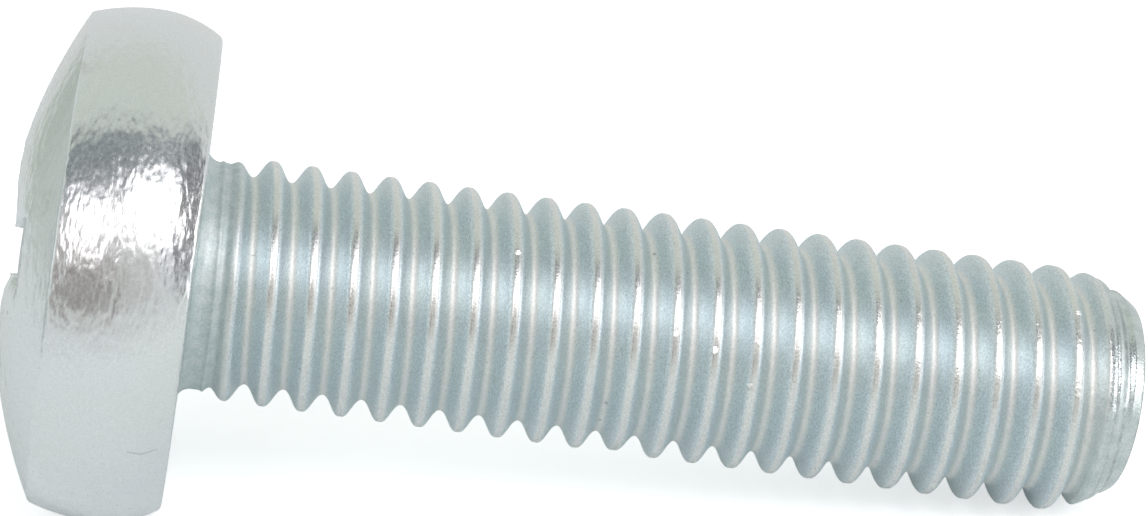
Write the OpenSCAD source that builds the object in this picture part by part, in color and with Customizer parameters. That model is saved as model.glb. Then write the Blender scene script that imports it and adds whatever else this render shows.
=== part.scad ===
// Machine screw with a raised pan head, a cross recess and a right-hand thread, in one piece.
// It lies as it comes to rest: on the widest ring of its head and on one crest near its point.
// The origin is the centre of the bearing face, +X runs along the shank and +Z is up.

/* [Thread] */
// Outside diameter over the crests
thread_d = 7.76; // [7.6:0.02:8]
// Diameter at the bottom of the grooves
root_d = 6.45; // [6.3:0.05:6.6]
// Distance from one crest to the next
pitch = 1.25; // [1.2:0.01:1.4]
// Width of the flat at the bottom of a groove
root_flat = 0.19; // [0.1:0.01:0.25]
// Width of the flat along the top of a crest
crest_flat = 0.18; // [0.08:0.01:0.22]
// Height of the rounded shoulders beside the crest flat
crest_round = 0.08; // [0.04:0.01:0.12]
// Half of the angle between the two flanks of a groove
flank_angle = 30; // [27:1:31]
// Distance from the bearing face to the first crest on the underside, counted back to the face
crest_start = 0.33; // [0:0.01:1.2]

/* [Shank] */
// Length from the bearing face to the end of the point
shank_l = 29.7; // [16:0.1:60]
// Diameter of the plain neck between head and thread
neck_d = 7.24; // [7:0.02:7.4]
// Length of the plain neck
neck_l = 0.8; // [0.6:0.05:3]
// Length over which the grooves grow from the neck to their full depth
runout_l = 0.9; // [0.5:0.05:2]
// Radius of the fillet where the neck meets the head
neck_fillet = 0.3; // [0.1:0.05:0.5]
// Length of the rounded point
point_l = 2.3; // [1:0.1:4]
// Diameter of the flat end of the point
point_d = 6; // [4.5:0.1:6.2]

/* [Head] */
// Widest diameter, at the bulge of the side
head_d = 16.3; // [15.8:0.05:17.5]
// Height from the bearing face to the flat top
head_h = 5.73; // [5.4:0.01:6.4]
// Height of the widest ring above the bearing face
bulge_h = 2.1; // [1.6:0.1:2.6]
// Diameter of the bearing face, before its edge is rounded
bearing_d = 15; // [14.4:0.1:15.4]
// Radius of the rounding around the bearing face
bearing_round = 0.25; // [0.1:0.05:0.5]
// Radius of the sphere that the raised top follows
dome_r = 16.5; // [14:0.5:22]
// Diameter of the flat in the middle of the top
flat_d = 7.2; // [6:0.1:8]
// Diameter where the dome would meet the side, before that edge is rounded
rim_d = 15.6; // [15:0.05:15.7]
// Radius of the rounding around the rim of the dome
rim_round = 0.45; // [0.2:0.05:0.8]

/* [Cross recess] */
// Distance across two opposite wings, where they meet the dome
wing_span = 9.7; // [8.6:0.1:10.4]
// Width of a wing at the flat top
wing_w = 1.6; // [1.2:0.05:2]
// Width of a wing at its floor
wing_floor_w = 1.1; // [0.8:0.05:1.2]
// Slope of the outer edge of a wing, away from the axis
wing_angle = 26.5; // [22:0.5:30]
// Depth of the wings' floor below the flat top, at its outer corners
wing_depth = 3.9; // [3:0.1:4.2]
// Depth of the recess below the flat top, at the axis
recess_depth = 4.6; // [4.3:0.1:4.9]
// Diameter of the conical core between the wings, at the flat top
core_d = 4.3; // [3:0.1:5]
// Diameter of the core at the depth of the wings' floor
core_floor_d = 3; // [2:0.1:3.4]

/* [Pose] */
// Turn of the screw about its own axis, which sets where the wings point
cross_turn = -26.5; // [-45:0.5:45]

/* [Hidden] */

// Sides of the threaded shank, and facets of the turned surfaces in a preview
thread_sides = 30;
turned_sides = 96;
// Steps along each arc of the turned profile
arc_steps = 8;
// How far the shank reaches into the neck, how far it stays inside the neck's surface, and
// the least distance of a row of thread points from either end
joint_overlap = 0.15;
joint_inset = 0.02;
row_margin = 0.03;
// How far cutters reach past what they cut
cut_past = 2;

zinc_plate = [0.74, 0.78, 0.8];

crest_r = thread_d / 2;
root_r = root_d / 2;
neck_r = neck_d / 2;
end_r = point_d / 2;
head_r = head_d / 2;
shank_start = neck_l - joint_overlap;

// Points of one pitch of the thread: distance along the axis from the crest, and radius
shoulder_r = crest_r - crest_round;
root_edge = (pitch - root_flat) / 2;
shoulder = root_edge - (shoulder_r - root_r) * tan(flank_angle);
THREAD_PROFILE = [
    [-root_edge, root_r],
    [-shoulder, shoulder_r],
    [-crest_flat / 2, crest_r],
    [crest_flat / 2, crest_r],
    [shoulder, shoulder_r],
    [root_edge, root_r],
];
rows_per_turn = len(THREAD_PROFILE);

function clamp01(x) = max(0, min(1, x));

// Share of its full depth that the thread has at a distance from the bearing face
function thread_growth(z) = sin(90 * clamp01((z - neck_l) / runout_l));

// Radius of the rounded point, which trims the thread near its end
function point_radius(z) = crest_r - (crest_r - end_r) * pow(clamp01((z - shank_l + point_l) / point_l), 2);

// Radius of the surface at a distance from the bearing face, where the full thread would be r
function trimmed_radius(z, r) =
    let (plain_r = neck_r - joint_inset)
    min(plain_r + (r - plain_r) * thread_growth(z), point_radius(z));

// A row is one line of points that winds along the helix. Six rows follow each other in a turn.
function row_turn(row) = floor(row / rows_per_turn);
function row_profile(row) = THREAD_PROFILE[row - rows_per_turn * row_turn(row)];
function row_z(row, angle) = crest_start + pitch * (row_turn(row) + angle / 360) + row_profile(row)[0];
function row_point(row, angle) =
    let (z = row_z(row, angle), r = trimmed_radius(z, row_profile(row)[1]))
    [r * cos(angle), r * sin(angle), z];
function ring_point(z, r, angle) = [r * cos(angle), r * sin(angle), z];

// The rows that lie between the two ends of the shank, at one side of it
function rows_between(angle) =
    let (last = rows_per_turn * ceil(shank_l / pitch + 1))
    [for (row = [-2 * rows_per_turn : last])
        if (row_z(row, angle) > shank_start + row_margin && row_z(row, angle) < shank_l - row_margin) row];

function side_angle(side) = 360 * side / thread_sides;

// Two triangles between each pair of neighbouring points of two lists. The shorter list repeats
// its last point, and then one of the two triangles is left out.
function zip_faces(left, right) = [
    for (i = [0 : max(len(left), len(right)) - 2])
        let (
            l0 = left[min(i, len(left) - 1)], l1 = left[min(i + 1, len(left) - 1)],
            r0 = right[min(i, len(right) - 1)], r1 = right[min(i + 1, len(right) - 1)]
        )
        each concat(r0 == r1 ? [] : [[l0, r1, r0]], l0 == l1 ? [] : [[l0, l1, r1]])
];

// The point where two circles cross on their outer side, given centres and radii
function circles_cross(c1, r1, c2, r2) =
    let (
        gap = c2 - c1,
        d = norm(gap),
        along = (d * d + r1 * r1 - r2 * r2) / (2 * d),
        aside = sqrt(r1 * r1 - along * along)
    )
    c1 + along * gap / d + aside * [-gap[1], gap[0]] / d;

function direction(from, to) = atan2(to[1] - from[1], to[0] - from[0]);
function arc(centre, r, a0, a1) = [
    for (i = [0 : arc_steps])
        let (a = a0 + (a1 - a0) * i / arc_steps)
        centre + r * [cos(a), sin(a)]
];

// Radius of an arc that leaves a vertical tangent and moves inwards by inset over a height
function bulge_arc_r(inset, height) = (inset * inset + height * height) / (2 * inset);

// Circles of the head's profile, as distance from the axis and height above the bearing face
dome_c = [0, head_h - sqrt(dome_r * dome_r - flat_d * flat_d / 4)];
rim_h = dome_c[1] + sqrt(dome_r * dome_r - rim_d * rim_d / 4);
upper_r = bulge_arc_r((head_d - rim_d) / 2, rim_h - bulge_h);
upper_c = [head_r - upper_r, bulge_h];
lower_r = bulge_arc_r((head_d - bearing_d) / 2, bulge_h);
lower_c = [head_r - lower_r, bulge_h];
rim_c = circles_cross(upper_c, upper_r - rim_round, dome_c, dome_r - rim_round);
bearing_c = [
    lower_c[0] + sqrt(pow(lower_r - bearing_round, 2) - pow(bulge_h - bearing_round, 2)),
    bearing_round,
];

// Half of the profile of head and neck, from the axis at the flat top to the axis at the neck's end
HEAD_PROFILE = concat(
    [[0, head_h]],
    arc(dome_c, dome_r, direction(dome_c, [flat_d / 2, head_h]), direction(dome_c, rim_c)),
    arc(rim_c, rim_round, direction(dome_c, rim_c), direction(upper_c, rim_c)),
    arc(upper_c, upper_r, direction(upper_c, rim_c), 0),
    arc(lower_c, lower_r, 0, direction(lower_c, bearing_c)),
    arc(bearing_c, bearing_round, direction(lower_c, bearing_c), -90),
    arc([neck_r + neck_fillet, -neck_fillet], neck_fillet, 90, 180),
    [[neck_r, -neck_l], [0, -neck_l]]
);

// The crest that touches the floor is the last one that the point leaves at nearly full height
touching_turn = floor((shank_l - point_l + pitch / 2 - crest_start) / pitch);
touching_z = crest_start + pitch * touching_turn;
touching_r = point_radius(touching_z);

// Tilt at which the side of the head and that crest both touch a level floor
reach = touching_z + bulge_h;
rise = lower_c[0] - touching_r;
rest_tilt = atan2(rise, reach) + asin(lower_r / norm([reach, rise]));

// Head and neck, turned about the axis, with the head below the bearing face
module turned_head() {
    mirror([0, 0, 1])
        rotate_extrude($fn = turned_sides)
            polygon(HEAD_PROFILE);
}

// Two opposite wings: their outline seen from the side, limited by their tapered width
module wing_pair() {
    mouth_drop = head_h - dome_c[1] - sqrt(dome_r * dome_r - wing_span * wing_span / 4);
    mouth = wing_span / 2 + (mouth_drop + cut_past) * tan(wing_angle);
    floor_reach = wing_span / 2 - (wing_depth - mouth_drop) * tan(wing_angle);
    width_growth = (wing_w - wing_floor_w) / 2 / wing_depth;
    mouth_w = wing_w + 2 * width_growth * cut_past;
    deepest_w = wing_floor_w - 2 * width_growth * (recess_depth - wing_depth);
    intersection() {
        rotate([90, 0, 0])
            linear_extrude(2 * mouth_w, center = true)
                polygon([
                    [-mouth, -cut_past],
                    [mouth, -cut_past],
                    [floor_reach, wing_depth],
                    [0, recess_depth],
                    [-floor_reach, wing_depth],
                ]);
        rotate([90, 0, 90])
            linear_extrude(2 * mouth + cut_past, center = true)
                polygon([
                    [-mouth_w / 2, -cut_past],
                    [mouth_w / 2, -cut_past],
                    [deepest_w / 2, recess_depth],
                    [-deepest_w / 2, recess_depth],
                ]);
    }
}

// The cross recess, measured down from the flat top: four wings around a conical core
module cross_recess() {
    core_growth = (core_d - core_floor_d) / 2 / wing_depth;
    translate([0, 0, -head_h]) {
        wing_pair();
        rotate([0, 0, 90]) wing_pair();
        translate([0, 0, -cut_past])
            cylinder(
                h = cut_past + wing_depth,
                r1 = core_d / 2 + core_growth * cut_past,
                r2 = core_floor_d / 2,
                $fn = turned_sides
            );
    }
}

// The shank as one closed surface: a helical thread that grows out of the neck and ends in the point
module threaded_shank() {
    rows = [for (side = [0 : thread_sides - 1]) rows_between(side_angle(side))];
    first = [for (side = 0, n = 0; side < thread_sides; n = n + len(rows[side]) + 2, side = side + 1) n];
    total = first[thread_sides - 1] + len(rows[thread_sides - 1]) + 2;
    points = [
        for (side = [0 : thread_sides - 1])
            let (angle = side_angle(side))
            each concat(
                [ring_point(shank_start, trimmed_radius(shank_start, 0), angle)],
                [for (row = rows[side]) row_point(row, angle)],
                [ring_point(shank_l, end_r, angle)]
            )
    ];
    strips = [
        for (side = [0 : thread_sides - 1])
            let (
                next = (side + 1) % thread_sides,
                shift = next == 0 ? rows_per_turn : 0,
                l = rows[side],
                r = rows[next],
                low = max(l[0], r[0] - shift),
                high = min(l[len(l) - 1], r[len(r) - 1] - shift),
                left = [for (row = l) first[side] + 1 + row - l[0]],
                right = [for (row = r) first[next] + 1 + row - r[0]],
                left_low = low - l[0],
                left_high = high - l[0],
                right_low = low + shift - r[0],
                right_high = high + shift - r[0]
            )
            each concat(
                zip_faces(
                    concat([first[side]], [for (i = [0 : left_low]) left[i]]),
                    concat([first[next]], [for (i = [0 : right_low]) right[i]])
                ),
                zip_faces(
                    [for (i = [left_low : left_high]) left[i]],
                    [for (i = [right_low : right_high]) right[i]]
                ),
                zip_faces(
                    concat([for (i = [left_high : len(l) - 1]) left[i]], [first[side] + len(l) + 1]),
                    concat([for (i = [right_high : len(r) - 1]) right[i]], [first[next] + len(r) + 1])
                )
            )
    ];
    start_cap = first;
    end_cap = [
        for (side = [thread_sides - 1 : -1 : 0])
            side == thread_sides - 1 ? total - 1 : first[side + 1] - 1
    ];
    polyhedron(points = points, faces = concat(strips, [start_cap, end_cap]));
}

// Lays the screw down, from standing on its head to its place on the floor
module at_rest() {
    rotate([0, 90 + rest_tilt, 0]) children();
}

module screw() {
    color(zinc_plate)
        at_rest()
            union() {
                difference() {
                    turned_head();
                    rotate([0, 0, cross_turn]) cross_recess();
                }
                threaded_shank();
            }
}

screw();
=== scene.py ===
import math
from types import SimpleNamespace

import bpy
import numpy as np
from mathutils import Matrix, Vector


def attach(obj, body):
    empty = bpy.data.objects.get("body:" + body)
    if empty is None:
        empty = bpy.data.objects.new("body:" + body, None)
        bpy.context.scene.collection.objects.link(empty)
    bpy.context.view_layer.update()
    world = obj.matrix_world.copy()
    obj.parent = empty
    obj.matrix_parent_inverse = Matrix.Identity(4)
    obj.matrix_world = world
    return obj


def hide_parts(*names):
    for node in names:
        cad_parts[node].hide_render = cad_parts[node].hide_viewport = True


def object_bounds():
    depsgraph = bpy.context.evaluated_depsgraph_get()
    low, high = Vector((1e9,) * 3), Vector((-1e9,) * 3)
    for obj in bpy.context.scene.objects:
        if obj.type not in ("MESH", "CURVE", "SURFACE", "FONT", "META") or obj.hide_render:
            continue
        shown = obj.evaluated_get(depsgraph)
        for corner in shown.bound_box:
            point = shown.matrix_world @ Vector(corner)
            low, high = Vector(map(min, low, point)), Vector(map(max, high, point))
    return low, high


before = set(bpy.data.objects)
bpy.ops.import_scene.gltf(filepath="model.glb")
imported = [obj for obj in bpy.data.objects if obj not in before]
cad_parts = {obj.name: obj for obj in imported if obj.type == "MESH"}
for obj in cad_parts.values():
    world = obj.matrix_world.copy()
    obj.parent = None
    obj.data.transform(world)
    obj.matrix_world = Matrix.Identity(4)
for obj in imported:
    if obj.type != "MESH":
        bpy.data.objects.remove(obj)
cad_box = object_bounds()

MM = 0.001

# Sizes of the screw in millimetres, the same as in the part's own source
CREST_R = 3.88
ROOT_R = 3.225
PITCH = 1.25
FLANK = math.radians(30)
ROOT_FLAT = 0.19
CREST_START = 0.33
SHANK_L = 29.7
NECK_R = 3.62
NECK_L = 0.8
RUNOUT_L = 0.9
POINT_L = 2.3
POINT_R = 3.0
HEAD_R = 8.15
HEAD_H = 5.73
BULGE_H = 2.1
BEARING_R = 7.5
BEARING_ROUND = 0.25
DOME_R = 16.5
FLAT_R = 3.6
RIM_R = 7.8
WING_SPAN = 9.7
WING_W = 1.6
WING_FLOOR_W = 1.1
WING_ANGLE = math.radians(26.5)
WING_DEPTH = 3.9
RECESS_DEPTH = 4.6
CORE_R = 2.15
CORE_FLOOR_R = 1.5
CROSS_TURN = math.radians(-26.5)

# Two roundings that differ from the source, because the reflections in the photograph show them so:
# the fillet at the neck, which is 0.3 there, and the rounding around the dome's rim, which is 0.45
NECK_FILLET = 0.45
RIM_ROUND = 0.18

# Soft transitions, each over a difference in radius or depth: on the crests, in the grooves, where the
# point trims the thread, around the flat of the dome, and between the surfaces inside the recess
CREST_BLEND = 0.2
ROOT_BLEND = 0.8
POINT_BLEND = 0.02
FLAT_BLEND = 0.05
RECESS_BLEND = 0.12
WALL_BLEND = 0.03
# Radius of the lip around the mouth of the recess
LIP_ROUND = 0.2
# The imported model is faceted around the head, so its box lies this far inside the widest ring
FACET_INSET = 0.005

# Traces of the rolling in the neck: a bead, whose distance from the head swings around the neck, and a
# dip beside it, which is deepest on one side
BEAD_Z = 0.67
BEAD_SWING = 0.15
BEAD_SIDE = math.radians(310)
BEAD_H = 0.045
BEAD_REACH = 0.08
DIP_FROM_BEAD = 0.26
DIP_SIDE = math.radians(290)
DIP_DEPTH = 0.06
DIP_REACH = 0.09

# Unevenness of the crests: its reach beside a crest, and its waves by how often they repeat around the
# axis and along the helix, and where they start. The finer ones grow towards the point.
WAVER_REACH = 0.16
WAVER = 0.003
WAVES = [(7.3, 1.9, 0.0), (12.1, -0.7, 1.0)]
FINE_WAVER = 0.006
FINE_WAVES = [(23.0, 1.3, 2.0), (31.0, -2.1, 0.0)]
FINE_START = 20
FINE_GROWTH = 7

# A crest pressed flat on the underside
PRESSED_CREST = {"at_z": 13.98, "at_degrees": 325, "depth": 0.11, "along": 0.3, "around": 1.1}

# A lap and a shallow groove in the last ring, by their distance from the crest, depth and reach, and
# where they start, how fast they grow and how far from the end they fade
LAST_RING_MARKS = [(0.05, 0.03, 0.06), (0.4, 0.06, 0.12)]
LAST_RING_START = 28.0
LAST_RING_GROWTH = 0.4
LAST_RING_FADE = 0.3

# Wear of the dome along two opposite wings: sunk on one side of them, worn down on the other, both over
# a length along them, and pressed in at their outer ends
SUNK_DEPTH = 0.2
SUNK_REACH = 0.9
WORN_DEPTH = 0.28
WORN_REACH = 0.55
WEAR_LENGTH = 4.2
MOUTH_DEPTH = 0.24
MOUTH_PLACE = 5.0
MOUTH_REACH = 0.9
MOUTH_EDGE = 0.1
MOUTH_SIDE = 1.3
MOUTH_FADE = 0.5

# Fineness of the mesh: sides around the axis, and steps along an arc, the neck's fillet, the bearing
# face, the neck, and the dome outside its middle square
SIDES = 160
ARC_STEPS = 12
FILLET_STEPS = 8
FACE_STEPS = 7
NECK_STEPS = 8
DOME_STEPS = 8
# Rows of one pitch by their distance from a crest, closer together on the crest and in the groove, the
# least distance of a row from either end of the shank, and the turns that are tried past either end
HALF_ROWS = np.array([0.04, 0.08, 0.12, 0.17, 0.23, 0.29, 0.4, 0.47, 0.53, 0.58])
ROWS = np.concatenate([[-PITCH / 2], -HALF_ROWS[::-1], [0], HALF_ROWS])
ROW_MARGIN = 0.02
SPARE_TURNS = 2
# A ring on the end face that keeps its edge sharp, as a share of the face's radius
END_RING = 0.985
# Grid lines across the head's top: inside the core, beside the walls of a wing, along a wing, and
# beside the outer ends of a wing. They are closer together where the recess has its walls.
CORE_LINES = [0.3]
WALL_LINES = WING_W / 2 + np.array([-0.26, -0.19, -0.14, -0.09, -0.04, 0, 0.05, 0.12])
WING_LINES = [1.2, 1.6, 2.1, 2.7, 3.4, 4.1]
END_LINES = WING_SPAN / 2 + np.array([-0.25, -0.1, -0.03, 0.03, 0.12])

# The camera: its place along the screw's axis, its distance from it, the direction in which it
# stands around the axis, where it looks, its roll, its focal length and its shift in pixels of the
# photograph (the photograph is a crop, and its centre of perspective lies left of its middle)
PHOTO_W = 1148
CAMERA_FOOT = -0.96
CAMERA_DISTANCE = 104.6
CAMERA_SIDE = math.radians(243.5)
LOOK_AZIMUTH = math.radians(-2.23)
LOOK_DOWN = math.radians(26.04)
CAMERA_ROLL = math.radians(-0.81)
FOCAL_PIXELS = 3305
SHIFT_PIXELS = 316
SENSOR_W = 36
CLIP_START = 0.01

# The lamps: name, angle above the horizon in front and angle to the side of that, width and height in
# degrees as the screw sees them, and brightness. They stand at one distance, in metres.
SOFTBOXES = [
    ("softbox_right", 51.5, 27.5, 44, 22, 4.3),
    ("softbox_left", 44.5, -17, 18, 20, 4.1),
    ("softbox_far", 50, 84, 16, 24, 3.3),
]
SOFTBOX_DISTANCE = 0.5
SOFTBOX_COLOUR = (1.0, 0.93, 0.96)

# The floor's radius and the place of its middle along X, in metres, its colour, and its glow as the
# camera sees it and as the metal reflects it
FLOOR_R = 0.055
FLOOR_X = 0.01
FLOOR_COLOUR = (0.785, 0.825, 0.835, 1.0)
FLOOR_GLOW = 0.56
FLOOR_GLOW_IN_METAL = 0.07


def clamp01(x):
    return np.clip(x, 0.0, 1.0)


def smooth_min(a, b, k):
    """The lesser of a and b, with a round transition over a difference of k."""
    h = np.maximum(k - np.abs(a - b), 0.0) / k
    return np.minimum(a, b) - h * h * k / 4


def smooth_max(a, b, k):
    return -smooth_min(-a, -b, k)


def hump(distance, reach, power=2):
    """A bell curve that is 1 at no distance. A higher power makes its top flatter."""
    return np.exp(-((distance / reach) ** power))


# Rest pose, worked out as in the part's source
def point_radius(z):
    return CREST_R - (CREST_R - POINT_R) * clamp01((z - SHANK_L + POINT_L) / POINT_L) ** 2


def bulge_arc_r(inset, height):
    return (inset * inset + height * height) / (2 * inset)


LOWER_R = bulge_arc_r(HEAD_R - BEARING_R, BULGE_H)
TOUCHING_Z = CREST_START + PITCH * math.floor((SHANK_L - POINT_L + PITCH / 2 - CREST_START) / PITCH)
REACH = TOUCHING_Z + BULGE_H
RISE = HEAD_R - LOWER_R - float(point_radius(TOUCHING_Z))
REST_TILT = math.atan2(RISE, REACH) + math.asin(LOWER_R / math.hypot(REACH, RISE))


def to_row(points):
    """Moves points from the standing screw (bearing face at 0, point up) to the lying one, in metres."""
    p = np.asarray(points, float)
    c, s = math.cos(REST_TILT), math.sin(REST_TILT)
    x = p[..., 2] * c - p[..., 0] * s
    z = -p[..., 2] * s - p[..., 0] * c
    return np.stack([x, p[..., 1], z], axis=-1) * MM


class Surface:
    """Collects points and faces of one mesh."""

    def __init__(self):
        self.points = []
        self.faces = []
        self.kinds = []

    def add(self, points):
        first = len(self.points)
        self.points.extend(map(tuple, points))
        return list(range(first, len(self.points)))

    def face(self, corners, kind):
        distinct = [c for i, c in enumerate(corners) if c != corners[i - 1]]
        if len(distinct) > 2:
            self.faces.append(distinct)
            self.kinds.append(kind)

    def zip(self, left, right, kind):
        """Faces between two lists of points; the shorter list repeats its last point."""
        for i in range(max(len(left), len(right)) - 1):
            l0, l1 = left[min(i, len(left) - 1)], left[min(i + 1, len(left) - 1)]
            r0, r1 = right[min(i, len(right) - 1)], right[min(i + 1, len(right) - 1)]
            self.face([l0, r0, r1, l1], kind)

    def ring(self, lower, upper, kind):
        """Faces between two closed rings of equally many points."""
        n = len(lower)
        for i in range(n):
            j = (i + 1) % n
            self.face([lower[i], lower[j], upper[j], upper[i]], kind)


# The two material slots of the mesh, and the height in the neck's fillet where the head's finish ends
HEAD, THREAD = 0, 1
HEAD_FINISH_END = -0.01

ANGLES = np.arange(SIDES) * 2 * math.pi / SIDES


def ring_points(r, z):
    return np.stack([r * np.cos(ANGLES), r * np.sin(ANGLES), np.full(SIDES, z)], axis=-1)


# Thread
def thread_radius(offset):
    """Radius of the full thread at a distance along the axis from a crest."""
    half_groove = (PITCH - ROOT_FLAT) / 2
    near = ROOT_R + (half_groove - np.abs(offset)) / math.tan(FLANK)
    far = ROOT_R + (half_groove - PITCH + np.abs(offset)) / math.tan(FLANK)
    return smooth_min(CREST_R, smooth_max(near, far, ROOT_BLEND), CREST_BLEND)


def neck_radius(z, angle):
    """The plain neck, with its bead and dip."""
    bead_z = BEAD_Z + BEAD_SWING * np.cos(angle - BEAD_SIDE)
    bead = BEAD_H * hump(z - bead_z, BEAD_REACH)
    share = 0.5 + 0.5 * np.cos(angle - DIP_SIDE)
    dip = DIP_DEPTH * share * hump(z - bead_z - DIP_FROM_BEAD, DIP_REACH)
    return NECK_R + bead - dip


def waver(z, angle):
    """Slight unevenness of the crests, stronger towards the point."""
    way = angle + 2 * math.pi * (z - CREST_START) / PITCH

    def add_up(waves):
        return sum(np.sin(around * angle + onward * way + start) for around, onward, start in waves)

    growth = clamp01((z - FINE_START) / FINE_GROWTH)
    return add_up(WAVES) * WAVER + add_up(FINE_WAVES) * FINE_WAVER * growth


def dent(z, angle, at_z, at_degrees, depth, along, around):
    """Depth of a small dent, with its reach along the axis and around it in millimetres."""
    turn = (np.degrees(angle) - at_degrees + 180) % 360 - 180
    arc_length = np.radians(turn) * CREST_R
    return depth * np.exp(-(((z - at_z) / along) ** 2) - (arc_length / around) ** 2)


def last_ring_depth(z, offset):
    """Depth of the lap and of the shallow groove in the last ring, which the point's taper cuts."""
    depth = sum(deep * hump(offset - place, reach) for place, deep, reach in LAST_RING_MARKS)
    growth = clamp01((z - LAST_RING_START) / LAST_RING_GROWTH)
    return depth * growth * clamp01((SHANK_L - z) / LAST_RING_FADE)


def shank_radius(z, offset, angle):
    growth = np.sin(math.pi / 2 * clamp01((z - NECK_L) / RUNOUT_L))
    full = thread_radius(offset) + waver(z, angle) * hump(offset, WAVER_REACH)
    neck = neck_radius(z, angle)
    radius = smooth_min(neck + (full - neck) * growth, point_radius(z), POINT_BLEND)
    return radius - dent(z, angle, **PRESSED_CREST) - last_ring_depth(z, offset)


def add_column(surface, angle):
    """Points of all the rows at one side of the shank, and the number of the first row."""
    in_turn = len(ROWS)
    rows = np.arange(-SPARE_TURNS * in_turn, in_turn * (SHANK_L / PITCH + SPARE_TURNS)).astype(int)
    offset = ROWS[rows % in_turn]
    z = CREST_START + PITCH * (rows // in_turn + angle / (2 * math.pi)) + offset
    inside = (z > NECK_L + ROW_MARGIN) & (z < SHANK_L - ROW_MARGIN)
    z, offset = z[inside], offset[inside]
    r = shank_radius(z, offset, angle)
    points = np.stack([r * math.cos(angle), r * math.sin(angle), z], axis=-1)
    return surface.add(points), int(rows[inside][0])


def join_columns(surface, left, left_row, right, right_row, starts, ends):
    """Faces between two neighbouring columns, whose first rows have those numbers, and the end rings."""
    low = max(left_row, right_row)
    l_low, r_low = low - left_row, low - right_row
    shared = min(len(left) - l_low, len(right) - r_low)
    l_high, r_high = l_low + shared - 1, r_low + shared - 1
    surface.zip([starts[0]] + left[:l_low + 1], [starts[1]] + right[:r_low + 1], THREAD)
    surface.zip(left[l_low:l_high + 1], right[r_low:r_high + 1], THREAD)
    surface.zip(left[l_high:] + [ends[0]], right[r_high:] + [ends[1]], THREAD)


def close_end(surface, end_ring):
    """The flat face at the end of the point."""
    inner = surface.add(ring_points(POINT_R * END_RING, SHANK_L))
    surface.ring(end_ring, inner, THREAD)
    middle = surface.add([(0, 0, SHANK_L)])[0]
    for side in range(SIDES):
        surface.face([inner[side], inner[(side + 1) % SIDES], middle], THREAD)


def build_shank(surface, neck_ring):
    """Rows of points that wind along the helix, from the neck's last ring to the end of the point."""
    columns = [add_column(surface, angle) for angle in ANGLES]
    end_ring = surface.add(ring_points(POINT_R, SHANK_L))
    for side in range(SIDES):
        after = (side + 1) % SIDES
        left, left_row = columns[side]
        right, right_row = columns[after]
        # Past the last side, a row goes on one turn further along the helix
        if after == 0:
            right_row -= len(ROWS)
        starts = neck_ring[side], neck_ring[after]
        ends = end_ring[side], end_ring[after]
        join_columns(surface, left, left_row, right, right_row, starts, ends)
    close_end(surface, end_ring)


# Head
def circles_cross(c1, r1, c2, r2):
    """The point where two circles cross on their outer side."""
    gap = c2 - c1
    d = np.linalg.norm(gap)
    along = (d * d + r1 * r1 - r2 * r2) / (2 * d)
    aside = math.sqrt(r1 * r1 - along * along)
    return c1 + along * gap / d + aside * np.array([-gap[1], gap[0]]) / d


def direction(start, end):
    return math.atan2(end[1] - start[1], end[0] - start[0])


def arc(centre, r, a0, a1, steps=ARC_STEPS):
    a = np.linspace(a0, a1, steps + 1)
    return [centre + r * np.array([math.cos(t), math.sin(t)]) for t in a]


def head_profile():
    """Points (radius, height above the bearing face) from the rim of the dome down to the neck."""
    dome_c = np.array([0, HEAD_H - math.sqrt(DOME_R**2 - FLAT_R**2)])
    rim_h = dome_c[1] + math.sqrt(DOME_R**2 - RIM_R**2)
    upper_r = bulge_arc_r(HEAD_R - RIM_R, rim_h - BULGE_H)
    widest = HEAD_R - FACET_INSET
    upper_c = np.array([widest - upper_r, BULGE_H])
    lower_c = np.array([widest - LOWER_R, BULGE_H])
    rim_c = circles_cross(upper_c, upper_r - RIM_ROUND, dome_c, DOME_R - RIM_ROUND)
    bearing_x = lower_c[0] + math.sqrt((LOWER_R - BEARING_ROUND) ** 2 - (BULGE_H - BEARING_ROUND) ** 2)
    bearing_c = np.array([bearing_x, BEARING_ROUND])
    fillet_x = NECK_R + NECK_FILLET
    fillet_c = np.array([fillet_x, -NECK_FILLET])
    profile = arc(rim_c, RIM_ROUND, direction(dome_c, rim_c), direction(upper_c, rim_c))
    profile += arc(upper_c, upper_r, direction(upper_c, rim_c), 0)[1:]
    profile += arc(lower_c, LOWER_R, 0, direction(lower_c, bearing_c))[1:]
    profile += arc(bearing_c, BEARING_ROUND, direction(lower_c, bearing_c), -math.pi / 2)[1:]
    profile += [np.array([r, 0.0]) for r in np.linspace(bearing_x, fillet_x, FACE_STEPS + 1)[1:-1]]
    profile += arc(fillet_c, NECK_FILLET, math.pi / 2, math.pi, FILLET_STEPS)
    return profile


def dome_depth(rho):
    """Depth of the dome's surface below the flat top."""
    level = math.sqrt(DOME_R**2 - FLAT_R**2)
    return smooth_max(level - np.sqrt(DOME_R**2 - rho**2), 0.0, FLAT_BLEND)


def worn_dome_depth(x, y):
    """Depth of the dome, with its wear along the two wings that lie along y."""
    half_wing = WING_W / 2
    sunk = SUNK_DEPTH * hump(np.maximum(-half_wing - x, 0), SUNK_REACH) * np.where(x < 0, 1.0, 0.0)
    worn = WORN_DEPTH * clamp01((half_wing + WORN_REACH - x) / WORN_REACH) * clamp01(x / half_wing)
    along = hump(y, WEAR_LENGTH, 6)
    across = clamp01((x + half_wing + MOUTH_EDGE) / MOUTH_EDGE) * clamp01((MOUTH_SIDE - x) / MOUTH_FADE)
    mouth = MOUTH_DEPTH * across * hump(np.abs(y) - MOUTH_PLACE, MOUTH_REACH, 4)
    return dome_depth(np.hypot(x, y)) + (sunk + worn) * along + mouth


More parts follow.
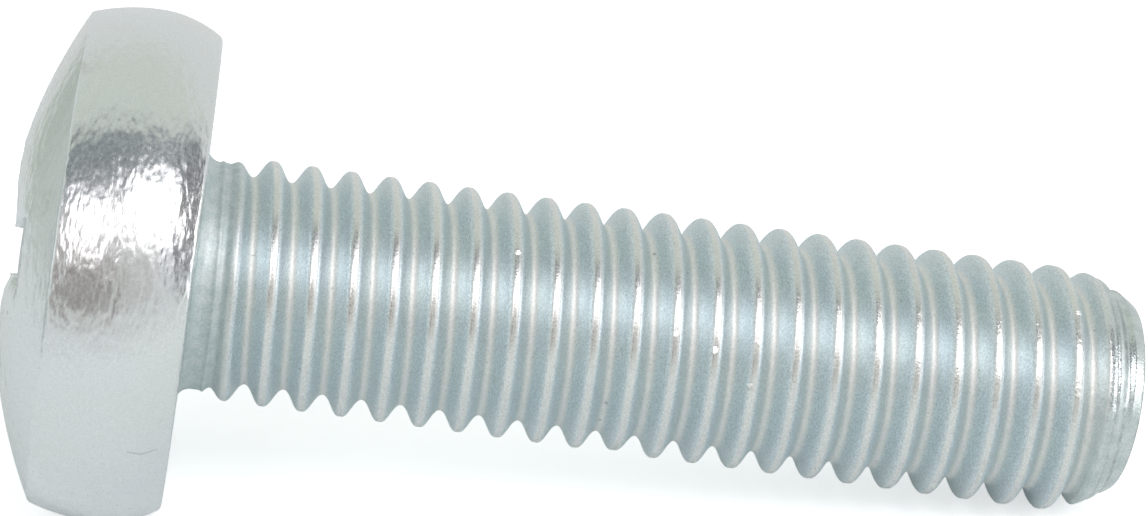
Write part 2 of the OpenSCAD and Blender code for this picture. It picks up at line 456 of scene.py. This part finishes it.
def wall(s, slope):
    """Depth at a distance s inside the mouth of the recess, for a wall with that slope and a round lip."""
    run = LIP_ROUND * math.sin(math.atan(slope))
    t = np.clip(s + run / 2, 0, run)
    lip = LIP_ROUND - np.sqrt(LIP_ROUND**2 - t**2)
    return lip + np.maximum(s - run / 2, 0) * slope


def recess_depth(x, y):
    """Depth of the cross recess below the dome's surface."""
    top = dome_depth(np.hypot(x, y))
    side_slope = 2 * WING_DEPTH / (WING_W - WING_FLOOR_W)
    end_slope = 1 / math.tan(WING_ANGLE)
    floor_reach = WING_SPAN / 2 - WING_DEPTH * math.tan(WING_ANGLE)
    floor_fall = (RECESS_DEPTH - WING_DEPTH) / floor_reach

    def wings(along, across):
        side = wall(WING_W / 2 - np.abs(across), side_slope)
        end = wall(WING_SPAN / 2 - np.abs(along), end_slope)
        floor = RECESS_DEPTH - np.abs(along) * floor_fall - top
        return smooth_min(smooth_min(side, end, WALL_BLEND), floor, RECESS_BLEND)

    core = wall(CORE_R - np.hypot(x, y), WING_DEPTH / (CORE_R - CORE_FLOOR_R))
    core = smooth_min(core, WING_DEPTH - top, RECESS_BLEND)
    deepest = np.maximum(np.maximum(wings(x, y), wings(y, x)), core)
    return np.maximum(deepest, 0)


def add_top_square(surface):
    """The middle of the head's top with the recess, as a square grid of points."""
    half = np.concatenate([CORE_LINES, WALL_LINES, WING_LINES, END_LINES])
    lines = np.concatenate([-half[::-1], [0], half])
    x, y = np.meshgrid(lines, lines, indexing="ij")
    depth = np.maximum(worn_dome_depth(x, y), dome_depth(np.hypot(x, y)) + recess_depth(x, y))
    c, s = math.cos(CROSS_TURN), math.sin(CROSS_TURN)
    points = np.stack([c * x - s * y, s * x + c * y, -(HEAD_H - depth)], axis=-1)
    top = np.array(surface.add(points.reshape(-1, 3))).reshape(x.shape)
    for i in range(len(lines) - 1):
        for j in range(len(lines) - 1):
            surface.face([top[i, j], top[i, j + 1], top[i + 1, j + 1], top[i + 1, j]], HEAD)
    return top


def square_edge(surface, top):
    """The points around the square, from the middle of one edge on, turned to start beside side 0."""
    middle = len(top) // 2
    edge = list(top[-1, middle:]) + list(top[::-1, -1][1:]) + list(top[0, ::-1][1:])
    edge += list(top[1:, 0]) + list(top[-1, 1:middle])
    assert len(edge) == SIDES, (len(edge), SIDES)
    start = surface.points[edge[0]]
    first = int(round(math.atan2(start[1], start[0]) / (2 * math.pi) * SIDES))
    return [edge[(k - first) % SIDES] for k in range(SIDES)]


def spread_to_rim(surface, edge, rim):
    """Rings along the dome that turn the square's edge into a circle as wide as the rim."""
    edge_xy = np.array([surface.points[k] for k in edge])[:, :2]
    rim_xy = ring_points(rim, 0)[:, :2]
    previous = edge
    for t in np.linspace(0, 1, DOME_STEPS + 1)[1:-1]:
        xy = edge_xy * (1 - t) + rim_xy * t
        z = -(HEAD_H - dome_depth(np.hypot(xy[:, 0], xy[:, 1])))
        ring = surface.add(np.column_stack([xy, z]))
        surface.ring(previous, ring, HEAD)
        previous = ring
    return previous


def add_neck(surface, previous):
    for z in np.linspace(NECK_FILLET, NECK_L, NECK_STEPS + 1)[1:]:
        ring = surface.add(ring_points(neck_radius(z, ANGLES), z))
        surface.ring(previous, ring, THREAD)
        previous = ring
    return previous


def build_head(surface):
    """Head and neck, from the middle of the top to the neck's last ring, which is returned."""
    top = add_top_square(surface)
    profile = head_profile()
    previous = spread_to_rim(surface, square_edge(surface, top), profile[0][0])
    for r, h in profile:
        ring = surface.add(ring_points(r, -h))
        surface.ring(previous, ring, HEAD if h > HEAD_FINISH_END else THREAD)
        previous = ring
    return add_neck(surface, previous)


def build_screw():
    surface = Surface()
    neck_ring = build_head(surface)
    build_shank(surface, neck_ring)
    mesh = bpy.data.meshes.new("screw_body")
    mesh.from_pydata(to_row(surface.points).tolist(), [], surface.faces)
    mesh.polygons.foreach_set("material_index", surface.kinds)
    mesh.polygons.foreach_set("use_smooth", [True] * len(mesh.polygons))
    mesh.update()
    screw = bpy.data.objects.new("zinc_screw", mesh)
    bpy.context.scene.collection.objects.link(screw)
    return screw


# Nodes
class Nodes:
    """Short forms for building one node tree."""

    def __init__(self, tree):
        self.tree = tree
        tree.nodes.clear()

    def add(self, kind, **settings):
        node = self.tree.nodes.new(kind)
        for name, value in settings.items():
            setattr(node, name, value)
        return node

    def link(self, source, target):
        self.tree.links.new(source, target)

    def put(self, value, socket):
        if isinstance(value, bpy.types.NodeSocket):
            self.link(value, socket)
        else:
            socket.default_value = value

    def math(self, operation, a, b=0.0, c=0.0, clamp=False):
        node = self.add("ShaderNodeMath", operation=operation, use_clamp=clamp)
        for socket, value in zip(node.inputs, (a, b, c)):
            self.put(value, socket)
        return node.outputs[0]

    def chain(self, operation, values):
        """Works through all the values with one operation, from the first to the last."""
        result = values[0]
        for value in values[1:]:
            result = self.math(operation, result, value)
        return result

    def times(self, *values):
        return self.chain("MULTIPLY", values)

    def most(self, *values):
        return self.chain("MAXIMUM", values)

    def minus(self, a, b):
        return self.math("SUBTRACT", a, b)

    def vector(self, operation, a, b):
        """A vector made from two others."""
        node = self.add("ShaderNodeVectorMath", operation=operation)
        self.put(a, node.inputs[0])
        self.put(b, node.inputs[1])
        return node.outputs["Vector"]

    def measure(self, operation, a, b=(0.0, 0.0, 0.0)):
        """A number made from one or two vectors."""
        node = self.add("ShaderNodeVectorMath", operation=operation)
        self.put(a, node.inputs[0])
        self.put(b, node.inputs[1])
        return node.outputs["Value"]

    def scaled(self, vector, factor):
        node = self.add("ShaderNodeVectorMath", operation="SCALE")
        self.put(vector, node.inputs[0])
        self.put(factor, node.inputs["Scale"])
        return node.outputs["Vector"]

    def split(self, vector):
        node = self.add("ShaderNodeSeparateXYZ")
        self.link(vector, node.inputs[0])
        return tuple(node.outputs)

    def fade(self, value, low, high, to_low=0.0, to_high=1.0):
        """Goes smoothly from to_low at low to to_high at high."""
        node = self.add("ShaderNodeMapRange", interpolation_type="SMOOTHSTEP", clamp=True)
        for socket, v in zip(node.inputs, (value, low, high, to_low, to_high)):
            self.put(v, socket)
        return node.outputs[0]

    def fade_out(self, value, low, high):
        return self.fade(value, low, high, 1.0, 0.0)

    def window(self, value, start, end):
        """1 between two smooth steps, of which each is given by where it begins and ends."""
        return self.times(self.fade(value, *start), self.fade_out(value, *end))

    def mix_color(self, factor, a, b, blend="MIX"):
        # The colours are the seventh and eighth input of this node, and the third output
        node = self.add("ShaderNodeMix", data_type="RGBA", blend_type=blend)
        self.put(factor, node.inputs["Factor"])
        self.put(a, node.inputs[6])
        self.put(b, node.inputs[7])
        return node.outputs[2]

    def noise(self, vector, scale, detail=2.0, roughness=0.5):
        node = self.add("ShaderNodeTexNoise")
        self.link(vector, node.inputs["Vector"])
        node.inputs["Scale"].default_value = scale
        node.inputs["Detail"].default_value = detail
        node.inputs["Roughness"].default_value = roughness
        return node.outputs["Fac"]

    def clouds(self, vector, scale, detail=3.0, roughness=0.5, edges=(0.35, 0.65), values=(0.0, 1.0)):
        """Soft patches, with one value where the noise is low and another where it is high."""
        return self.fade(self.noise(vector, scale, detail, roughness), *edges, *values)

    def grey(self, value):
        node = self.add("ShaderNodeCombineColor")
        for socket in node.inputs:
            self.put(value, socket)
        return node.outputs[0]

    def bump(self, height, strength, distance, normal=None):
        node = self.add("ShaderNodeBump")
        self.link(height, node.inputs["Height"])
        node.inputs["Strength"].default_value = strength
        node.inputs["Distance"].default_value = distance
        if normal is not None:
            self.link(normal, node.inputs["Normal"])
        return node.outputs["Normal"]


def rgb(r, g, b):
    return (r, g, b, 1.0)


# Colours of the plating, each as a pair that changes in soft clouds, and of what marks it
HEAD_ZINC = rgb(0.785, 0.825, 0.81), rgb(0.79, 0.83, 0.84)
PALE_ZINC = rgb(0.79, 0.82, 0.79), rgb(0.77, 0.8, 0.78)
BLUE_ZINC = rgb(0.7, 0.785, 0.795), rgb(0.685, 0.775, 0.8)
NECK_ZINC = rgb(0.57, 0.66, 0.66), rgb(0.66, 0.73, 0.73)
WORN_ZINC = rgb(0.58, 0.66, 0.65), rgb(0.66, 0.735, 0.715)
STAIN = rgb(0.5, 0.5, 0.42)
HEAD_MARK = rgb(0.25, 0.27, 0.27)
THREAD_MARK = rgb(0.3, 0.34, 0.34)
# Painted shade that darkens the shallow groove and the lap of the last ring
PAINTED_GROOVE_SHADE = rgb(0.36, 0.39, 0.41)

# Places of marks on the standing screw: x, y, z on the dome, and distance along the axis, degrees
# around it and radius elsewhere. Each spot ends with its reach, and each line with its half width.
STAINS = [
    ((-4.34, -5.32, -4.63), 0.6),
    ((-3.62, -4.5, -5.08), 0.5),
    ((-2.38, -5.57, -4.97), 0.45),
    ((-7.6, -2.11, -4.0), 0.7),
]
DARK_DOT = ((-0.26, -4.78, -5.41), 0.1)
HAIRLINE = [(-1.25, 287, 8.05), (-0.85, 288, 7.935), (-0.4, 287.3, 7.74)]
HAIRLINE_W = 0.035
SPECKS = [
    ((14.18, 193.7, 3.26), 0.09),
    ((15.35, 147.6, 3.26), 0.08),
    ((15.15, 208.1, 3.5), 0.09),
    ((13.38, 252.7, 3.5), 0.08),
    ((13.27, 287.8, 3.26), 0.09),
]
THREAD_SCRATCH = [(2.67, 307, 3.6), (2.94, 291.5, 3.5)]
THREAD_SCRATCH_W = 0.025
# Small flats on the crests: distance along the axis, degrees around it, reach and tilt in degrees
FACETS = [
    (9.8, 213, 0.12, -12),
    (14.87, 241.5, 0.12, 9),
    (16.12, 246.5, 0.14, 12),
    (17.39, 261, 0.12, 20),
    (21.05, 236, 0.1, 8),
    (27.37, 205, 0.12, -18),
]
FACET_R = 3.87

# Shares of the reach of a spot, line or small flat over which it is at its full strength
SPOT_CORE = 0.3
FACET_CORE = 0.8
# How far the marks cover the metal: the dot and the hairline on the head, and those on the thread
DOT_COVER = 0.6
HAIRLINE_COVER = 0.42
THREAD_MARK_COVER = 0.65
# How much of the speckle the crests and grooves keep, how much painted shade the lap gets beside the
# groove, and how much rougher than the rest the neck and the grooves are
SPECKLE_OFF_FLANKS = 0.55
LAP_SHADE = 0.5
EXTRA_ROUGHNESS = 0.14
# Roughness of the head, the flanks and the polished lines, each from where a fine grain is low to
# where it is high
GRAIN_EDGES = (0.3, 0.7)
HEAD_ROUGHNESS = (0.2, 0.28)
FLANK_ROUGHNESS = (0.38, 0.48)
CREST_ROUGHNESS = (0.24, 0.32)
# The head's texture is drawn out around the axis by this scale along x, y and z
DRAWN_OUT = (0.4, 0.4, 1.0)

# Looks of the thread by distance from a crest: where the crest ends and the groove begins, how far a
# crest shines and how much further on the side towards the head, and where the last ring gets painted shade
CREST_EDGE = (0.08, 0.14)
ROOT_EDGE = (0.43, 0.56)
SHINE_EDGE = (0.03, 0.08)
SHINE_TOWARDS_HEAD = 0.04
SHINE_WIDER = 0.13
SHADED_GROOVE = 0.37
SHADED_GROOVE_EDGE = (0.03, 0.1)
SHADED_LAP = 0.05
SHADED_LAP_EDGE = (0.02, 0.06)
# Looks by distance along the axis, each from where it begins to change to where it has changed
NECK_END = (0.9, 1.5)
SHINE_START = (1.6, 2.0)
WEAR_START = (12.0, 28.5)
POINT_WEAR_START = (27.8, 28.2)
FLANKS_END = (28.0, 28.4)
SHINE_WIDENS = (28.0, 28.5)
LAST_RING = (28.2, 28.6)
WEAR_END = (28.7, 29.1)
POINT_SHINES = (28.8, 29.1)
# Where the painted shade in the last ring's groove and lap ends
GROOVE_SHADE_END = (29.45, 29.6)


def screw_coordinates(n):
    """Position in the standing screw's own directions, in millimetres."""
    place = n.add("ShaderNodeTexCoord").outputs["Object"]
    turned = n.add("ShaderNodeVectorRotate", rotation_type="Y_AXIS")
    n.link(place, turned.inputs["Vector"])
    turned.inputs["Angle"].default_value = -(math.pi / 2 + REST_TILT)
    return n.scaled(turned.outputs[0], 1 / MM)


def at(z, degrees, r):
    """Place on the standing screw."""
    a = math.radians(degrees)
    return Vector((r * math.cos(a), r * math.sin(a), z))


def spot(n, place, centre, reach):
    """1 at a place, falling to 0 at a distance in millimetres."""
    return n.fade_out(n.measure("DISTANCE", place, centre), SPOT_CORE * reach, reach)


def scratch(n, place, start, end, width):
    """1 along a straight line between two places, falling to 0 at a distance of its width."""
    way = end - start
    from_start = n.vector("SUBTRACT", place, start)
    share = n.measure("DOT_PRODUCT", from_start, way / way.length_squared)
    nearest = n.scaled(way, n.math("MULTIPLY", share, 1.0, clamp=True))
    return n.fade_out(n.measure("DISTANCE", from_start, nearest), SPOT_CORE * width, width)


def facet(n, place, z, degrees, reach, tilt):
    """Height in millimetres of a small flat on a crest that leans around the axis."""
    a = math.radians(degrees)
    from_middle = n.vector("SUBTRACT", place, at(z, degrees, FACET_R))
    around = Vector((-math.sin(a), math.cos(a), 0)) * math.tan(math.radians(tilt))
    slope = n.measure("DOT_PRODUCT", from_middle, around)
    inside = n.fade_out(n.measure("LENGTH", from_middle), FACET_CORE * reach, reach)
    return n.times(slope, inside)


def helix_offset(n, x, y, z):
    """Distance along the axis from the nearest crest, in millimetres."""
    angle = n.math("ARCTAN2", y, x)
    way = n.math("MULTIPLY_ADD", angle, -PITCH / (2 * math.pi), z)
    return n.math("WRAP", n.minus(way, CREST_START), PITCH / 2, -PITCH / 2)


def metal(name):
    """A new metallic material, the short forms for its nodes, and its shader."""
    material = bpy.data.materials.new(name)
    material.use_nodes = True
    n = Nodes(material.node_tree)
    shader = n.add("ShaderNodeBsdfPrincipled")
    out = n.add("ShaderNodeOutputMaterial")
    n.link(shader.outputs[0], out.inputs["Surface"])
    shader.inputs["Metallic"].default_value = 1.0
    return material, n, shader


# Material of the head
def head_marks(n, place):
    """A dark dot on the dome and a bent hairline on the side."""
    dot = spot(n, place, *DARK_DOT)
    start, bend, end = [at(*point) for point in HAIRLINE]
    hairline = n.most(
        scratch(n, place, start, bend, HAIRLINE_W),
        scratch(n, place, bend, end, HAIRLINE_W),
    )
    return n.most(n.times(dot, DOT_COVER), n.times(hairline, HAIRLINE_COVER))


def head_colour(n, place):
    """Nearly even zinc with fine speckle, faint brownish stains and a few dark marks."""
    colour = n.mix_color(n.clouds(place, scale=0.35), *HEAD_ZINC)
    speckle = n.clouds(place, scale=16.0, detail=2.0, roughness=0.7, edges=(0.3, 0.7), values=(0.95, 1.03))
    colour = n.mix_color(1.0, colour, n.grey(speckle), "MULTIPLY")
    stain = n.most(*[spot(n, place, centre, reach) for centre, reach in STAINS])
    patchy = n.clouds(place, scale=3.0, roughness=0.7, edges=(0.42, 0.6), values=(0.0, 0.3))
    colour = n.mix_color(n.times(stain, patchy), colour, STAIN)
    return n.mix_color(head_marks(n, place), colour, HEAD_MARK)


def zinc_head_material():
    """Smooth plating with a fine hammered texture, drawn out around the head."""
    material, n, shader = metal("zinc_head")
    place = screw_coordinates(n)
    n.link(head_colour(n, place), shader.inputs["Base Color"])
    rough = n.clouds(place, scale=9.0, roughness=0.6, edges=GRAIN_EDGES, values=HEAD_ROUGHNESS)
    n.link(rough, shader.inputs["Roughness"])
    hammered = n.noise(n.vector("MULTIPLY", place, DRAWN_OUT), scale=4.2, detail=1.5)
    n.link(n.bump(hammered, strength=0.5, distance=0.085 * MM), shader.inputs["Normal"])
    return material


# Material of the thread and the neck
def thread_zones(n, place):
    """Where a point lies on the thread, with each zone as 1 inside it and 0 outside."""
    x, y, along = n.split(place)
    from_crest = helix_offset(n, x, y, along)
    offset = n.math("ABSOLUTE", from_crest)
    crest = n.fade_out(offset, *CREST_EDGE)
    root = n.fade(offset, *ROOT_EDGE)
    beside = n.minus(1.0, n.math("ADD", crest, root))
    return SimpleNamespace(
        along=along,
        from_crest=from_crest,
        offset=offset,
        crest=crest,
        root=root,
        flank=n.times(beside, n.window(along, NECK_END, FLANKS_END)),
        neck=n.fade_out(along, *NECK_END),
    )


def painted_groove_shade_share(n, place, zones):
    """Painted shade, in patches, in the shallow groove and in the lap of the last ring."""
    from_groove = n.math("ABSOLUTE", n.minus(zones.from_crest, SHADED_GROOVE))
    from_lap = n.math("ABSOLUTE", n.minus(zones.from_crest, SHADED_LAP))
    in_groove = n.fade_out(from_groove, *SHADED_GROOVE_EDGE)
    in_lap = n.fade_out(from_lap, *SHADED_LAP_EDGE)
    both = n.math("MULTIPLY_ADD", in_lap, LAP_SHADE, in_groove)
    patchy = n.clouds(place, scale=3.0, roughness=0.7, edges=(0.4, 0.6), values=(0.1, 0.75))
    return n.times(both, n.window(zones.along, LAST_RING, GROOVE_SHADE_END), patchy)


def thread_marks(n, place):
    """Pits all over, and the specks and the scratch that stand out."""
    pits = n.clouds(place, scale=5.0, detail=2.0, roughness=0.9, edges=(0.7, 0.74))
    specks = [spot(n, place, at(*point), reach) for point, reach in SPECKS]
    start, end = [at(*point) for point in THREAD_SCRATCH]
    line = scratch(n, place, start, end, THREAD_SCRATCH_W)
    return n.times(n.most(pits, n.most(*specks, line)), THREAD_MARK_COVER)


def thread_colour(n, place, zones):
    """Bluish on the flanks, paler on the crests and in the grooves, mottled on the neck and point, with
    painted shade in the last ring's groove and lap.
    """
    clouds = n.clouds(place, scale=0.6)
    pale = n.mix_color(clouds, *PALE_ZINC)
    blue = n.mix_color(clouds, *BLUE_ZINC)
    neck = n.mix_color(n.clouds(place, scale=3.0), *NECK_ZINC)
    worn = n.mix_color(n.clouds(place, scale=2.0, edges=(0.4, 0.6)), *WORN_ZINC)
    colour = n.mix_color(zones.flank, pale, blue)
    colour = n.mix_color(zones.neck, colour, neck)
    colour = n.mix_color(n.fade(zones.along, *LAST_RING), colour, worn)
    # Painted shade in the last ring's groove and lap
    colour = n.mix_color(painted_groove_shade_share(n, place, zones), colour, PAINTED_GROOVE_SHADE)
    speckle = n.clouds(place, scale=17.0, detail=2.0, roughness=0.75, edges=(0.3, 0.7), values=(0.79, 1.16))
    speckled = n.math("MULTIPLY_ADD", zones.flank, 1 - SPECKLE_OFF_FLANKS, SPECKLE_OFF_FLANKS)
    colour = n.mix_color(speckled, colour, n.grey(speckle), "MULTIPLY")
    return n.mix_color(thread_marks(n, place), colour, THREAD_MARK)


def shine_share(n, zones):
    """The polished line along each crest, wider on the last ring, and the whole point."""
    wider = n.fade(zones.along, *SHINE_WIDENS, 0.0, SHINE_WIDER)
    towards_head = n.times(n.math("LESS_THAN", zones.from_crest, 0.0), SHINE_TOWARDS_HEAD)
    beside = n.minus(n.minus(zones.offset, wider), towards_head)
    line = n.times(n.window(zones.along, SHINE_START, WEAR_END), n.fade_out(beside, *SHINE_EDGE))
    return n.most(line, n.fade(zones.along, *POINT_SHINES))


def thread_roughness(n, grain, zones):
    """Roughest on the neck and in the grooves, and smoothest where the metal shines."""
    rougher = n.most(zones.neck, zones.root)
    rough = n.fade(grain, *GRAIN_EDGES, *FLANK_ROUGHNESS)
    rough = n.math("MULTIPLY_ADD", rougher, EXTRA_ROUGHNESS, rough)
    smooth = n.fade(grain, *GRAIN_EDGES, *CREST_ROUGHNESS)
    return n.math("MULTIPLY_ADD", shine_share(n, zones), n.minus(smooth, rough), rough)


def thread_normal(n, place, grain, zones):
    """Fine grain, wear on the crests that grows towards the point, and small flats on single crests."""
    worn = n.times(
        n.noise(place, scale=4.0, detail=3.0, roughness=0.7),
        n.fade(zones.along, *WEAR_START, to_low=0.15, to_high=1.0),
        n.fade(zones.along, *WEAR_END, to_low=1.0, to_high=0.3),
        n.most(zones.crest, n.fade(zones.along, *POINT_WEAR_START)),
    )
    flats = n.chain("ADD", [facet(n, place, *values) for values in FACETS])
    normal = n.bump(grain, strength=0.3, distance=0.02 * MM)
    normal = n.bump(worn, strength=0.5, distance=0.06 * MM, normal=normal)
    return n.bump(flats, strength=1.0, distance=MM, normal=normal)


def zinc_thread_material():
    """Plating that is bluish and slightly rough on the flanks, with a polished line on each crest."""
    material, n, shader = metal("zinc_thread")
    place = screw_coordinates(n)
    zones = thread_zones(n, place)
    grain = n.noise(place, scale=14.0, detail=3.0, roughness=0.6)
    n.link(thread_colour(n, place, zones), shader.inputs["Base Color"])
    n.link(thread_roughness(n, grain, zones), shader.inputs["Roughness"])
    n.link(thread_normal(n, place, grain, zones), shader.inputs["Normal"])
    return material


# Floor
def floor_material():
    """Pale and matt, with a glow that makes it nearly white to the camera and faint in the metal."""
    material = bpy.data.materials.new("pale_floor")
    material.use_nodes = True
    n = Nodes(material.node_tree)
    matt = n.add("ShaderNodeBsdfDiffuse")
    matt.inputs["Color"].default_value = FLOOR_COLOUR
    path = n.add("ShaderNodeLightPath")
    seen_in_metal = n.most(path.outputs["Is Glossy Ray"], path.outputs["Is Transmission Ray"])
    shown = n.times(path.outputs["Is Camera Ray"], FLOOR_GLOW)
    glow = n.add("ShaderNodeEmission")
    strength = n.math("MULTIPLY_ADD", seen_in_metal, FLOOR_GLOW_IN_METAL, shown)
    n.link(strength, glow.inputs["Strength"])
    both = n.add("ShaderNodeAddShader")
    n.link(matt.outputs[0], both.inputs[0])
    n.link(glow.outputs[0], both.inputs[1])
    out = n.add("ShaderNodeOutputMaterial")
    n.link(both.outputs[0], out.inputs["Surface"])
    return material


def build_floor(height):
    mesh = bpy.data.meshes.new("floor")
    edge = [(FLOOR_R * math.cos(a) + FLOOR_X, FLOOR_R * math.sin(a), height) for a in ANGLES]
    mesh.from_pydata(edge, [], [range(SIDES)])
    mesh.materials.append(floor_material())
    floor = bpy.data.objects.new("floor", mesh)
    bpy.context.scene.collection.objects.link(floor)


# World: a pale tent around the screw, whose opening in front goes from the horizon past the zenith.
# Directions in it are given by their rise from the horizon in front, over the zenith to the one behind,
# and their angle to the side, both in degrees.
TENT = rgb(0.745, 0.755, 0.752), rgb(0.67, 0.695, 0.645)
TENT_ENDS = rgb(0.46, 0.51, 0.5), rgb(0.4, 0.46, 0.4)
TENT_GLOW = rgb(1.0, 1.02, 1.04)
TENT_PATCH = rgb(0.44, 0.49, 0.43)
OPENING_LEFT = rgb(0.3, 0.27, 0.26)
OPENING_MIDDLE = rgb(0.55, 0.54, 0.52)
OPENING_RIGHT = rgb(0.7, 0.7, 0.7)
OPENING_UPPER = rgb(0.21, 0.23, 0.245)
OPENING_FAR = rgb(0.13, 0.13, 0.14)
# Half the width of an edge, the opening's sides, and its upper edge, which climbs from one rise to
# another between two angles to the side
SOFT_EDGE = 2
OPENING_SIDES = (-38, 74)
OPENING_TOPS = (87.5, 109)
OPENING_CLIMB = (33, 50)
# Where the colours inside the opening change
LEFT_TO_MIDDLE = (-12, 4)
MIDDLE_TO_RIGHT = (28, 40)
LOW_TO_UPPER = (48, 62)
NEAR_TO_FAR = (49, 53)
# Where the tent's left and right ends begin, and the band in which they glow
LEFT_END = (-66, -50)
RIGHT_END = (72, 84)
GLOW_START = (5, 35)
GLOW_END = (65, 100)
# A darker patch behind the head, in degrees around the upright, and in height as a share of the
# distance, like the height where the tent begins to count as overhead
PATCH_START = (-152.5, -150.5)
PATCH_END = (-150, -112)
PATCH_FLOOR = (-0.27, -0.2)
PATCH_TOP = (0.15, 0.4)
OVERHEAD = (0.5, 0.85)


def in_radians(degrees):
    return [math.radians(value) for value in degrees]


def opening_share(n, rise, aside):
    """1 in the opening and 0 on the tent."""
    soft = math.radians(SOFT_EDGE)
    left, right = in_radians(OPENING_SIDES)
    top = n.fade(aside, *in_radians(OPENING_CLIMB), *in_radians(OPENING_TOPS))
    below_top = n.fade_out(n.minus(rise, top), -soft, soft)
    between_sides = n.window(aside, (left - soft, left + soft), (right - soft, right + soft))
    return n.times(below_top, between_sides, n.fade(rise, soft, 3 * soft))


def opening_colour(n, rise, aside):
    """What shows through the opening: darker on the left, higher up and at the far right."""
    colour = n.mix_color(n.fade(aside, *in_radians(LEFT_TO_MIDDLE)), OPENING_LEFT, OPENING_MIDDLE)
    colour = n.mix_color(n.fade(aside, *in_radians(MIDDLE_TO_RIGHT)), colour, OPENING_RIGHT)
    colour = n.mix_color(n.fade(rise, *in_radians(LOW_TO_UPPER)), colour, OPENING_UPPER)
    return n.mix_color(n.fade(aside, *in_radians(NEAR_TO_FAR)), colour, OPENING_FAR)


def patch_share(n, x, y, height):
    """1 in the dark patch low down behind the head, which shows in the dome."""
    around = n.math("ARCTAN2", x, n.times(y, -1.0))
    beside = n.window(around, in_radians(PATCH_START), in_radians(PATCH_END))
    return n.times(beside, n.fade(height, *PATCH_FLOOR), n.fade_out(height, *PATCH_TOP))


def tent_colour(n, x, y, height, rise, aside):
    """Pale all round, with darker ends that glow in a band, and the dark patch."""
    overhead = n.fade(height, *OVERHEAD)
    glow = n.window(rise, in_radians(GLOW_START), in_radians(GLOW_END))
    ends = n.mix_color(glow, n.mix_color(overhead, *TENT_ENDS), TENT_GLOW)
    at_end = n.most(n.fade_out(aside, *in_radians(LEFT_END)), n.fade(aside, *in_radians(RIGHT_END)))
    tent = n.mix_color(at_end, n.mix_color(overhead, *TENT), ends)
    return n.mix_color(patch_share(n, x, y, height), tent, TENT_PATCH)


def build_world():
    """The tent with its opening, which the camera itself sees as plain white."""
    world = bpy.data.worlds.new("tent")
    bpy.context.scene.world = world
    world.use_nodes = True
    n = Nodes(world.node_tree)
    x, y, height = n.split(n.add("ShaderNodeTexCoord").outputs["Generated"])
    rise = n.math("ARCTAN2", height, n.times(y, -1.0))
    aside = n.math("ARCSINE", x)
    tent = tent_colour(n, x, y, height, rise, aside)
    colour = n.mix_color(opening_share(n, rise, aside), tent, opening_colour(n, rise, aside))
    path = n.add("ShaderNodeLightPath")
    shown = n.mix_color(path.outputs["Is Camera Ray"], colour, rgb(1.0, 1.0, 1.0))
    background = n.add("ShaderNodeBackground")
    n.link(shown, background.inputs["Color"])
    out = n.add("ShaderNodeOutputWorld")
    n.link(background.outputs[0], out.inputs["Surface"])


# Lamps and camera
def front_direction(rise, aside):
    """Unit vector at an angle above the horizon in front, and an angle to the side of that."""
    return Vector((
        math.sin(aside),
        -math.cos(aside) * math.cos(rise),
        math.cos(aside) * math.sin(rise),
    ))


def build_softbox(name, rise, aside, width, height, brightness):
    """A rectangular lamp that faces the screw."""
    light = bpy.data.lights.new(name, "AREA")
    light.shape = "RECTANGLE"
    light.size = 2 * SOFTBOX_DISTANCE * math.tan(math.radians(width) / 2)
    light.size_y = 2 * SOFTBOX_DISTANCE * math.tan(math.radians(height) / 2)
    light.energy = brightness * light.size * light.size_y * math.pi
    light.color = SOFTBOX_COLOUR
    lamp = bpy.data.objects.new(name, light)
    towards = front_direction(math.radians(rise), math.radians(aside))
    sideways = front_direction(math.radians(rise), math.radians(aside + 90))
    turn = Matrix((sideways, towards.cross(sideways), towards)).transposed()
    lamp.matrix_world = Matrix.Translation(towards * SOFTBOX_DISTANCE) @ turn.to_4x4()
    bpy.context.scene.collection.objects.link(lamp)


def build_camera():
    data = bpy.data.cameras.new("camera")
    camera = bpy.data.objects.new("camera", data)
    bpy.context.scene.collection.objects.link(camera)
    data.sensor_width = SENSOR_W
    data.lens = FOCAL_PIXELS / PHOTO_W * SENSOR_W
    data.shift_x = SHIFT_PIXELS / PHOTO_W
    data.clip_start = CLIP_START
    stand = (
        CAMERA_DISTANCE * math.cos(CAMERA_SIDE),
        CAMERA_DISTANCE * math.sin(CAMERA_SIDE),
        CAMERA_FOOT,
    )
    look = Vector((
        math.sin(LOOK_AZIMUTH) * math.cos(LOOK_DOWN),
        math.cos(LOOK_AZIMUTH) * math.cos(LOOK_DOWN),
        -math.sin(LOOK_DOWN),
    ))
    level = Vector((math.cos(LOOK_AZIMUTH), -math.sin(LOOK_AZIMUTH), 0))
    upright = level.cross(look)
    right = level * math.cos(CAMERA_ROLL) + upright * math.sin(CAMERA_ROLL)
    up = right.cross(look)
    turn = Matrix((right, up, -look)).transposed()
    camera.matrix_world = Matrix.Translation(Vector(to_row([stand])[0])) @ turn.to_4x4()
    bpy.context.scene.camera = camera


bpy.context.scene.view_settings.view_transform = "Standard"
build_camera()
build_world()
for softbox in SOFTBOXES:
    build_softbox(*softbox)
build_floor(cad_box[0][2])

screw = build_screw()
screw.data.materials.append(zinc_head_material())
screw.data.materials.append(zinc_thread_material())
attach(screw, "root")
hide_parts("screw")
